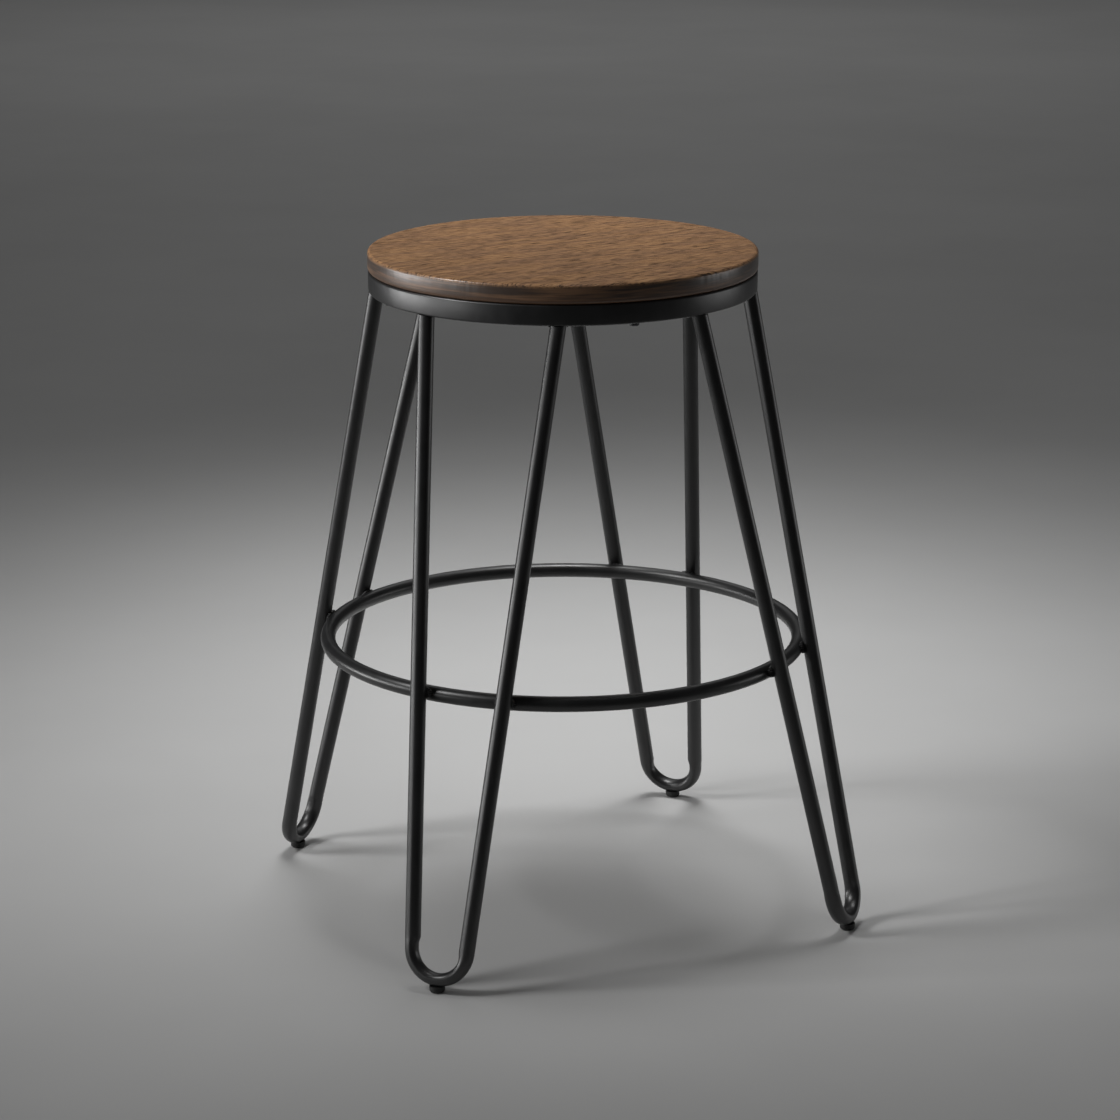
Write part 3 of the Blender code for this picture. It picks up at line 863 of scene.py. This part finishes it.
class STOOL_OT_seat_band(Operator):
    """Roll the square tube under the seat and drill it for the seat screws"""
    bl_idname = "stool.seat_band"
    bl_label = "Seat Band"

    def execute(self, context):
        stool = context.scene.stool
        band = stool.band
        bm = self.hoop(band, 0.0, band.corner, 5)
        bore = self.hoop(band, band.wall, band.corner - band.wall, 2)
        bmesh.ops.reverse_faces(bore, faces=bore.faces)
        append(bm, bore)
        low = band.bottom - DRILL_PAST
        high = band.bottom + band.side + DRILL_PAST
        bm = drill(bm, screw_holes(stool.fastener.bore, low, high))
        coat = kept("band_coat", powder_coat, stool.finish, BAND_PEEL)
        finish_piece("seat_band_rolled", bm, "seat_band", coat)
        return {"FINISHED"}

    def hoop(self, band, inset, corner, segments):
        """A rounded square section, inset from the tube's, turned full circle."""
        outside = band.radius - inset
        inside = band.radius - band.side + inset
        low = band.bottom + inset
        high = band.bottom + band.side - inset
        corners = [(outside, high), (outside, low), (inside, low), (inside, high)]
        return rounded_ring(corners, band.steps, corner, segments)


class STOOL_OT_legs(Operator):
    """Bend the four hairpin legs"""
    bl_idname = "stool.legs"
    bl_label = "Legs"

    def execute(self, context):
        stool = context.scene.stool
        foot = stool.foot
        hole = (stool.leg.foot, 0.0, foot.stem + foot.gap, 0.0, foot.stem_top + foot.gap)
        bm = drill(bent_tube(LegPlane(stool.leg, stool.band)), [hole])
        coat = kept("leg_coat", powder_coat, stool.finish, LEG_PEEL)
        finish_copies("leg", "bent", bm, leg_turns(), coat, 0.0)
        return {"FINISHED"}


class STOOL_OT_foot_ring(Operator):
    """Bend the footrest ring"""
    bl_idname = "stool.foot_ring"
    bl_label = "Footrest Ring"

    def execute(self, context):
        stool = context.scene.stool
        ring = stool.ring
        bm = bmesh.new()
        place = Matrix.Translation((ring.radius, 0.0, ring.height))
        circle(bm, ring.sides, ring.bar, place @ UPRIGHT)
        spin(bm, FULL_TURN, ring.steps, use_merge=True)
        clean(bm)
        coat = kept("leg_coat", powder_coat, stool.finish, LEG_PEEL)
        finish_piece("foot_ring_bent", bm, "foot_ring", coat)
        return {"FINISHED"}


class STOOL_OT_foot_pads(Operator):
    """Mould the four push-in feet, cupped to the bent tubes"""
    bl_idname = "stool.foot_pads"
    bl_label = "Foot Pads"

    def execute(self, context):
        stool = context.scene.stool
        foot = stool.foot
        corners = [(0.0, foot.stem_top), (foot.stem, foot.stem_top), (foot.stem, foot.lip),
                   (foot.radius, foot.lip), (foot.radius, 0.0), (0.0, 0.0)]
        bm = lathe(corners, foot.steps, cuts={2: foot.cup_rings})
        bevel(bm, edges_at(bm, foot.radius, 0.0), foot.round, 8)
        bevel(bm, edges_at(bm, foot.stem, foot.stem_top), foot.stem / 4, 3)
        move(bm, (stool.leg.foot, 0.0))
        self.cup(bm, stool)
        clean(bm)
        rubber = kept("moulded_rubber", moulded_rubber, stool.finish)
        finish_copies("foot_pad", "moulded", bm, leg_turns(), rubber, 0.0)
        return {"FINISHED"}

    def cup(self, bm, stool):
        """Press the pad's upper face down until it clears the tube."""
        foot = stool.foot
        tube = bent_tube(LegPlane(stool.leg, stool.band))
        tree = BVHTree.FromBMesh(tube)
        tube.free()
        for vert in bm.verts:
            if abs(vert.co.z - foot.lip) > NEAR:
                continue
            below = Vector((vert.co.x, vert.co.y, 0.0))
            spot = tree.ray_cast(below, UP)[0]
            if spot is not None:
                vert.co.z = min(foot.lip, spot.z - foot.gap)


class STOOL_OT_seat_screws(Operator):
    """Make the seat screws, with a button head, a hexagon socket and a thread"""
    bl_idname = "stool.seat_screws"
    bl_label = "Seat Screws"

    def execute(self, context):
        stool = context.scene.stool
        part = stool.fastener
        turns = screw_turns()
        bottom = SCREW_LOW.z
        tip = SCREW_HIGH.z
        seat_face = bottom + part.head_height
        corners = [(0.0, tip), (part.shank, tip - part.taper), (part.shank, seat_face),
                   (part.head, seat_face), (part.head, bottom), (part.socket * 1.3, bottom)]
        bm = lathe(corners, part.steps)
        bevel(bm, edges_at(bm, part.head, bottom), part.dome, 8)
        self.socket(bm, part, bottom)
        append(bm, self.thread(part, seat_face, tip))
        move(bm, middle_of("seat_screw_back_right"))
        zinc = kept("zinc_plate", zinc_plate, stool.finish)
        finish_copies("seat_screw", "plated", bm, turns, zinc, turns[CORNERS[0]])
        return {"FINISHED"}

    def socket(self, bm, part, bottom):
        """Close the head's open rim onto a hexagon socket."""
        rim = open_edges(bm)
        circle(bm, 6, part.socket, Matrix.Translation((0.0, 0.0, bottom)))
        hexagon = [edge for edge in bm.edges if edge.is_wire]
        bmesh.ops.subdivide_edges(bm, edges=hexagon, cuts=part.steps // 6 - 1)
        mouth = [edge for edge in bm.edges if edge.is_wire]
        bmesh.ops.bridge_loops(bm, edges=rim + mouth)
        sunk = bmesh.ops.extrude_edge_only(bm, edges=mouth)
        floor = [item for item in sunk["geom"] if isinstance(item, bmesh.types.BMVert)]
        bmesh.ops.translate(bm, verts=floor, vec=(0.0, 0.0, part.socket_depth))
        bmesh.ops.holes_fill(bm, edges=open_edges(bm), sides=0)
        clean(bm)

    def thread(self, part, low, tip):
        """A ridge of triangular section wound round the shank."""
        half = part.pitch * 0.28
        root = part.shank * 0.94
        start = low + 2 * part.pitch
        turns = int((tip - part.taper - start) / part.pitch)
        steps = turns * part.steps // 2
        bm = bmesh.new()
        corners = [(root, start - half), (part.thread, start), (root, start + half)]
        bm.faces.new([bm.verts.new((x, 0.0, z)) for x, z in corners])
        spin(bm, FULL_TURN * turns, steps, dvec=(0.0, 0.0, part.pitch * turns / steps))
        bmesh.ops.recalc_face_normals(bm, faces=bm.faces)
        return bm


class STOOL_OT_seat_washers(Operator):
    """Make the washers under the seat screws"""
    bl_idname = "stool.seat_washers"
    bl_label = "Seat Washers"

    def execute(self, context):
        stool = context.scene.stool
        part = stool.fastener
        turns = screw_turns()
        low = WASHER_LOW.z
        high = WASHER_HIGH.z
        corners = [(part.washer, high), (part.washer, low), (part.bore, low), (part.bore, high)]
        bm = rounded_ring(corners, part.steps, part.washer_edge, 3)
        move(bm, middle_of("seat_washer_back_right"))
        zinc = kept("zinc_plate", zinc_plate, stool.finish)
        finish_copies("seat_washer", "plated", bm, turns, zinc, turns[CORNERS[0]])
        return {"FINISHED"}


class STOOL_OT_top_welds(Operator):
    """Run the beads round the rod tops, in the corner under the band"""
    bl_idname = "stool.top_welds"
    bl_label = "Top Welds"

    def execute(self, context):
        stool = context.scene.stool
        plane = LegPlane(stool.leg, stool.band)
        for letter, side in SIDES.items():
            finish_welds("top_weld", letter, self.bead(plane, side, stool.weld), stool.finish)
        return {"FINISHED"}

    def bead(self, plane, side, weld):
        """A bead round the inner side of one rod's top."""
        start, direction = plane.rod_line(side)
        height = plane.leg.top - 0.6 * weld.bead
        centre = start + direction * ((height - start.z) / direction.z)
        reach = plane.leg.tube + 0.55 * weld.bead
        bm = bmesh.new()
        circle(bm, weld.sides, weld.bead, Matrix.Translation((reach, 0.0, 0.0)) @ UPRIGHT)
        rotate(bm, -weld.sweep / 2)
        spin(bm, weld.sweep, weld.steps)
        self.ripple(bm, weld, reach)
        clean(bm)
        rotate(bm, math.atan2(-centre.y, -centre.x))
        lean = Matrix.Rotation(-math.atan2(direction.y, direction.x), 4, "Z")
        bmesh.ops.scale(bm, vec=(1 / direction.z, 1.0, 1.0), space=lean, verts=bm.verts)
        bmesh.ops.translate(bm, verts=bm.verts, vec=centre)
        return bm

    def ripple(self, bm, weld, reach):
        """Give the bead its ripples and draw both ends to a point."""
        taper = 2.2 * weld.bead / reach
        for vert in bm.verts:
            along = math.atan2(vert.co.y, vert.co.x)
            rest = weld.sweep / 2 - abs(along) - ANGLE_SLACK
            end = min(max(rest / taper, 0.0), 1.0)
            size = math.sqrt(max(1 - (1 - end) ** 2, 0.0))
            wave = 1 + weld.ripple * math.cos(FULL_TURN * along * reach / weld.ripple_pitch)
            heart = Vector((reach * math.cos(along), reach * math.sin(along), 0.0))
            vert.co = heart + (vert.co - heart) * (size * wave)


class STOOL_OT_ring_welds(Operator):
    """Lay the welds where the footrest ring meets the rods"""
    bl_idname = "stool.ring_welds"
    bl_label = "Ring Welds"

    def execute(self, context):
        stool = context.scene.stool
        plane = LegPlane(stool.leg, stool.band)
        for letter, side in SIDES.items():
            bead = self.lens(plane, stool.ring, side, stool.weld)
            finish_welds("ring_weld", letter, bead, stool.finish)
        return {"FINISHED"}

    def lens(self, plane, ring, side, weld):
        """A rippled lens of weld metal in the crevice round the touching point."""
        spot = nearest_on_rod(plane, ring)
        direction = plane.rod_line(side)[1]
        spot.y *= side
        on_ring = Vector((spot.x, spot.y, 0.0)).normalized() * ring.radius
        on_ring.z = ring.height
        outward = (spot - on_ring).normalized()
        touch = on_ring + outward * ring.bar
        across = outward.cross(direction).normalized()
        along = across.cross(outward)
        bm = bmesh.new()
        bmesh.ops.create_uvsphere(bm, u_segments=4 * weld.sides, v_segments=2 * weld.sides,
                                  radius=1.0)
        ripples = round(FULL_TURN * weld.width / weld.ripple_pitch / 2)
        for vert in bm.verts:
            wave = math.cos(ripples * math.atan2(vert.co.y, vert.co.x))
            vert.co *= 1 + weld.ripple * 0.6 * wave * math.hypot(vert.co.x, vert.co.y)
        facing = Matrix((across, along, outward)).transposed().to_4x4()
        size = Matrix.Diagonal((weld.width, weld.reach, weld.depth, 1.0))
        bmesh.ops.transform(bm, matrix=Matrix.Translation(touch) @ facing @ size, verts=bm.verts)
        clean(bm)
        return bm


# -------- stage

def beside_camera(stage, side, distance, height):
    """A place round the stool, by its angle to the right of the camera."""
    bearing = stage.turn + side
    return Vector((distance * math.sin(bearing), -distance * math.cos(bearing), height))


def soft_light(name, stage, light):
    """A rectangular soft light at its place, turned to face its aim."""
    lamp = bpy.data.lights.new(name, "AREA")
    lamp.shape = "RECTANGLE"
    lamp.size = light.width
    lamp.size_y = light.depth
    lamp.energy = light.power
    lamp.spread = light.spread
    place = beside_camera(stage, light.side, light.distance, light.height)
    aim = beside_camera(stage, light.side, light.aim_distance, light.aim_height)
    facing = (place - aim).to_track_quat("Z", "Y").to_matrix().to_4x4()
    new_object(name, lamp).matrix_world = Matrix.Translation(place) @ facing


class STOOL_OT_stage(Operator):
    """Set up the pale floor, the soft lights and the camera"""
    bl_idname = "stool.stage"
    bl_label = "Stage"

    def execute(self, context):
        stool = context.scene.stool
        stage = stool.stage
        self.camera(stage)
        self.floor(stool)
        for name in LIGHTS:
            soft_light(name, stage, getattr(stool, name))
        self.world(stage)
        return {"FINISHED"}

    def camera(self, stage):
        data = bpy.data.cameras.new("camera")
        data.lens = stage.lens
        data.sensor_width = stage.sensor
        data.clip_end = 2 * stage.floor_size
        camera = new_object("camera", data)
        place = beside_camera(stage, 0.0, stage.distance, stage.height)
        aim = (Matrix.Rotation(stage.turn - stage.pan, 4, "Z")
               @ Matrix.Rotation(math.pi / 2 - stage.pitch, 4, "X")
               @ Matrix.Rotation(stage.roll, 4, "Z"))
        camera.matrix_world = Matrix.Translation(place) @ aim
        bpy.context.scene.camera = camera

    def floor(self, stool):
        bm = bmesh.new()
        bmesh.ops.create_grid(bm, x_segments=12, y_segments=12, size=stool.stage.floor_size / 2)
        mesh = new_mesh("floor", bm)
        mesh.materials.append(kept("floor_paint", floor_paint, stool.finish))
        new_object("floor", mesh)

    def world(self, stage):
        world = bpy.data.worlds.new("studio")
        world.use_nodes = True
        background = world.node_tree.nodes["Background"]
        background.inputs["Color"].default_value = (1.0, 1.0, 1.0, 1.0)
        background.inputs["Strength"].default_value = stage.world
        bpy.context.scene.world = world
        bpy.context.scene.view_settings.view_transform = "Standard"


# -------- panel and registration

OPERATORS = (
    STOOL_OT_seat_board,
    STOOL_OT_seat_band,
    STOOL_OT_legs,
    STOOL_OT_foot_ring,
    STOOL_OT_foot_pads,
    STOOL_OT_seat_screws,
    STOOL_OT_seat_washers,
    STOOL_OT_top_welds,
    STOOL_OT_ring_welds,
    STOOL_OT_stage,
)


class STOOL_PT_sidebar(Panel):
    """The stool's pieces and sizes"""
    bl_idname = "STOOL_PT_sidebar"
    bl_label = "Bar Stool"
    bl_space_type = "VIEW_3D"
    bl_region_type = "UI"
    bl_category = "Bar Stool"

    def draw(self, context):
        stool = context.scene.stool
        column = self.layout.column(align=True)
        for operator in OPERATORS:
            column.operator(operator.bl_idname)
        for name in GROUPS:
            settings = getattr(stool, name)
            box = self.layout.box()
            box.label(text=name.title())
            for row in settings.__annotations__:
                box.prop(settings, row)


CLASSES = (*GROUPS.values(), StoolSettings, *OPERATORS, STOOL_PT_sidebar)


def register():
    for cls in CLASSES:
        bpy.utils.register_class(cls)
    bpy.types.Scene.stool = PointerProperty(type=StoolSettings)


def unregister():
    del bpy.types.Scene.stool
    for cls in reversed(CLASSES):
        bpy.utils.unregister_class(cls)


def main():
    register()
    bpy.ops.stool.stage()
    bpy.ops.stool.seat_board()
    bpy.ops.stool.seat_band()
    bpy.ops.stool.legs()
    bpy.ops.stool.foot_ring()
    bpy.ops.stool.foot_pads()
    bpy.ops.stool.seat_screws()
    bpy.ops.stool.seat_washers()
    bpy.ops.stool.top_welds()
    bpy.ops.stool.ring_welds()


if __name__ == "__main__":
    main()
